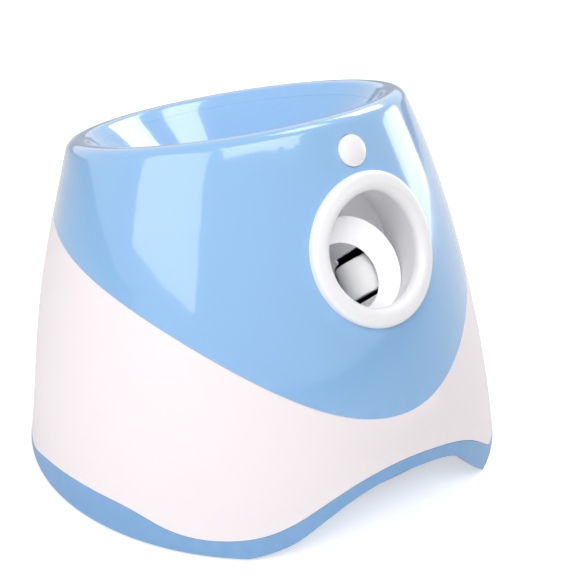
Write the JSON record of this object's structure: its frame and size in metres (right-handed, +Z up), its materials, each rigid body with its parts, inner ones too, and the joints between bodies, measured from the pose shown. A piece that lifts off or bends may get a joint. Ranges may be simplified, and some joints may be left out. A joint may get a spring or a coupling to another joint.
{
  "type": "automatic dog ball launcher",
  "caption": "Tub-shaped launcher for small tennis balls: open hopper on top, feed pusher, paired flywheels and an angled barrel behind a round port, on a footed base.",
  "frame": {"origin": "on the ground, on the middle line of the base", "axes": "+Z up, the launch port looks towards -Y, +X to the right seen from the front"},
  "size_m": [0.2916, 0.2888, 0.226],
  "materials": {
    "blue_gloss": "glossy light blue ABS",
    "white_shell": "satin white ABS",
    "blue_base": "satin blue ABS",
    "white_gloss": "glossy white ABS",
    "inner_white": "moulded white ABS",
    "tread": "soft white polyurethane",
    "black_rubber": "matt rubber",
    "black_plastic": "fine texture",
    "gear_nylon": "natural acetal",
    "steel": "zinc-plated steel",
    "bright_steel": "ground steel",
    "board_green": "solder mask",
    "cell_wrap": "plastic sleeve"
  },
  "bodies": {
    "housing": {"ball_sensor_emitter": "black_plastic", "ball_sensor_receiver": "black_plastic", "barrel_collar": "white_gloss", "barrel_cradle": "inner_white", "base_tray": "blue_base", "battery_cells": "cell_wrap", "battery_contacts": "bright_steel", "bezel_retainer": "inner_white", "board_capacitors": "cell_wrap", "board_connectors": "inner_white", "board_screws": "steel", "breech_cap": "inner_white", "breech_screws": "steel", "button_board": "board_green", "button_guide": "inner_white", "button_spring": "bright_steel", "case_screws": "steel", "control_chip": "black_plastic", "cradle_screws": "steel", "dc_inlet": "black_plastic", "drop_chute": "inner_white", "feeder_bracket": "steel", "feeder_gearbox": "bright_steel", "feeder_motor": "steel", "feeder_screws": "steel", "flywheel_motor_left": "steel", "flywheel_motor_right": "steel", "hopper_funnel": "blue_gloss", "inlet_nut": "steel", "launch_barrel": "inner_white", "lower_shell": "white_shell", "main_board": "board_green", "motor_driver_chips": "black_plastic", "motor_end_cap_left": "black_plastic", "motor_end_cap_right": "black_plastic", "motor_screws": "steel", "port_bezel": "white_gloss", "rocker_housing": "black_plastic", "rubber_feet": "black_rubber", "speaker": "black_plastic", "tact_switch": "black_plastic", "throat_screws": "steel", "upper_shell": "blue_gloss"},
    "button": {"power_button": "white_gloss"},
    "flywheel_left": {"flywheel_tyre_left": "tread", "flywheel_hub_left": "black_plastic", "flywheel_shaft_left": "bright_steel"},
    "flywheel_right": {"flywheel_tyre_right": "tread", "flywheel_hub_right": "black_plastic", "flywheel_shaft_right": "bright_steel"},
    "pusher": {"feed_pusher": "black_plastic", "pusher_rack": "gear_nylon"},
    "pinion": {"feeder_pinion": "gear_nylon", "feeder_shaft": "bright_steel"},
    "rocker": {"power_rocker": "black_plastic"},
    "door": {"battery_door": "blue_base"}
  },
  "joints": [
    {"name": "power_button_press", "type": "slide", "parent": "housing", "child": "button", "axis": [0, 0.891, -0.454], "range_m": [0, 0.002], "stiffness_N_per_m": 200, "springref_m": -0.001, "deforming": ["button_spring"]},
    {"name": "flywheel_left_spin", "type": "hinge", "parent": "housing", "child": "flywheel_left", "pos_m": [-0.0445, -0.06488, 0.11708], "axis": [0, 0.6561, 0.7547], "continuous": true},
    {"name": "flywheel_right_spin", "type": "hinge", "parent": "housing", "child": "flywheel_right", "pos_m": [0.0445, -0.06488, 0.11708], "axis": [0, 0.6561, 0.7547], "continuous": true},
    {"name": "pusher_slide", "type": "slide", "parent": "housing", "child": "pusher", "axis": [0, -0.7547, 0.6561], "range_m": [0, 0.028]},
    {"name": "feeder_pinion_spin", "type": "hinge", "parent": "housing", "child": "pinion", "pos_m": [0, 0.01434, 0.06494], "axis": [1, 0, 0], "range_deg": [-178.8, 0]},
    {"name": "power_rocker_tilt", "type": "hinge", "parent": "housing", "child": "rocker", "pos_m": [0.02364, 0.13526, 0.054], "axis": [-0.984, 0.1784, 0], "range_deg": [0, 24]},
    {"name": "battery_door_slide", "type": "slide", "parent": "housing", "child": "door", "axis": [0, -1, 0], "range_m": [0, 0.016]}
  ],
  "couplings": [
    {"joint": "feeder_pinion_spin", "follows": "pusher_slide", "rad_per_m": -111.11}
  ]
}
